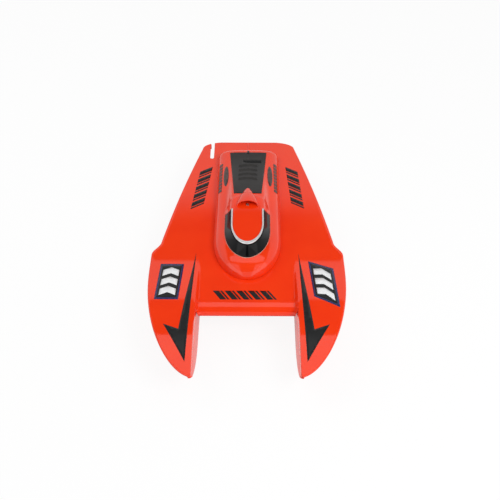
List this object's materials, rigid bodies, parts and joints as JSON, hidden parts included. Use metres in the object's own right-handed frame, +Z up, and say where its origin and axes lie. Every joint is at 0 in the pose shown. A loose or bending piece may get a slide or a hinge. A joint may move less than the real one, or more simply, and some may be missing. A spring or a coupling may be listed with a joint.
{
  "type": "radio-controlled racing hydroplane",
  "caption": "Tunnel-hull model race boat with twin bow sponsons, a lift-off cowl, inboard electric drive and a steered transom rudder.",
  "frame": {"origin": "centre of the footprint, on the surface that the sponsons stand on", "axes": "+X to port, +Y towards the transom, +Z up; the bow sponsons point along -Y"},
  "size_m": [0.3186, 0.617, 0.1103],
  "materials": {
    "hull_orange": "gloss lacquer over a glass-fibre moulding",
    "cowl_orange": "gloss lacquer over a thin moulding",
    "screen_black": "polished black",
    "panel_black": "satin moulded",
    "silver_trim": "bright satin foil",
    "machined_aluminium": "fine machined",
    "steel": "ground",
    "brass": "turned",
    "rubber_black": "matte",
    "lead_insulation": "soft silicone sleeve",
    "hose_silicone": "smooth translucent",
    "flotation_foam": "closed-cell foam",
    "battery_wrap": "heat-shrunk film",
    "nylon_black": "moulded nylon",
    "strap_webbing": "hook and loop",
    "motor_black": "anodised"
  },
  "bodies": {
    "hull": {"deck": "hull_orange", "hull_tub": "hull_orange", "sponson_starboard": "hull_orange", "sponson_port": "hull_orange", "flotation_starboard": "flotation_foam", "flotation_port": "flotation_foam", "hatch_seal": "rubber_black", "cowl_bridge": "machined_aluminium", "battery_tray": "nylon_black", "battery_pack": "battery_wrap", "battery_strap_front": "strap_webbing", "battery_strap_rear": "strap_webbing", "speed_controller": "nylon_black", "receiver": "nylon_black", "battery_plug": "nylon_black", "battery_lead": "lead_insulation", "controller_lead": "lead_insulation", "switch_case": "nylon_black", "motor": "motor_black", "cooling_jacket": "machined_aluminium", "motor_mount": "machined_aluminium", "motor_cradle": "nylon_black", "stuffing_tube": "brass", "flex_shaft": "steel", "motor_lead_1": "lead_insulation", "motor_lead_2": "lead_insulation", "motor_lead_3": "lead_insulation", "water_inlet": "brass", "hose_in": "hose_silicone", "water_outlet": "brass", "hose_out": "hose_silicone", "drain_plug": "rubber_black", "drive_strut": "machined_aluminium", "rudder_bracket": "machined_aluminium", "servo": "nylon_black", "rod_seal": "rubber_black", "turn_fin_bracket": "machined_aluminium", "turn_fin": "machined_aluminium"},
    "cowl": {"cowl": "cowl_orange", "windscreen": "screen_black", "windscreen_trim": "silver_trim", "vent_panel": "panel_black", "headrest_scoop": "cowl_orange"},
    "cowl_screw": {"cowl_screw": "steel"},
    "propeller": {"prop_shaft": "steel", "drive_dog": "brass", "propeller": "brass", "prop_nut": "steel"},
    "motor_rotor": {"motor_shaft": "steel", "coupler": "machined_aluminium"},
    "rudder": {"rudder": "machined_aluminium"},
    "servo_horn": {"servo_horn": "nylon_black"},
    "steering_rod": {"steering_rod": "steel"},
    "switch_slider": {"switch_slider": "nylon_black"}
  },
  "joints": [
    {"name": "cowl_lift", "type": "slide", "parent": "hull", "child": "cowl", "axis": [0, 0, 1], "range_m": [0, 0.12]},
    {"name": "cowl_screw_turn", "type": "hinge", "parent": "cowl", "child": "cowl_screw", "pos_m": [0, 0.0275, 0.1], "axis": [0, 0, 1], "continuous": true},
    {"name": "propeller_spin", "type": "hinge", "parent": "hull", "child": "propeller", "pos_m": [0, 0.2961, 0.02], "axis": [0, 1, 0], "continuous": true},
    {"name": "motor_spin", "type": "hinge", "parent": "hull", "child": "motor_rotor", "pos_m": [0, 0.1645, 0.046], "axis": [0, 1, 0], "continuous": true},
    {"name": "rudder_steer", "type": "hinge", "parent": "hull", "child": "rudder", "pos_m": [-0.038, 0.2775, 0.03], "axis": [0, 0, 1], "range_deg": [-35, 35]},
    {"name": "servo_turn", "type": "hinge", "parent": "hull", "child": "servo_horn", "pos_m": [-0.0473, 0.2035, 0.034], "axis": [1, 0, 0], "range_deg": [-36, 36]},
    {"name": "rod_slide", "type": "slide", "parent": "hull", "child": "steering_rod", "axis": [0, 1, 0], "range_m": [-0.0075, 0.0075]},
    {"name": "switch_slide", "type": "slide", "parent": "hull", "child": "switch_slider", "axis": [0, 1, 0], "range_m": [0, 0.005]}
  ],
  "couplings": [
    {"joint": "motor_spin", "follows": "propeller_spin", "ratio": 1},
    {"joint": "servo_turn", "follows": "rudder_steer", "ratio": 1},
    {"joint": "rod_slide", "follows": "rudder_steer", "m_per_rad": -0.012}
  ]
}
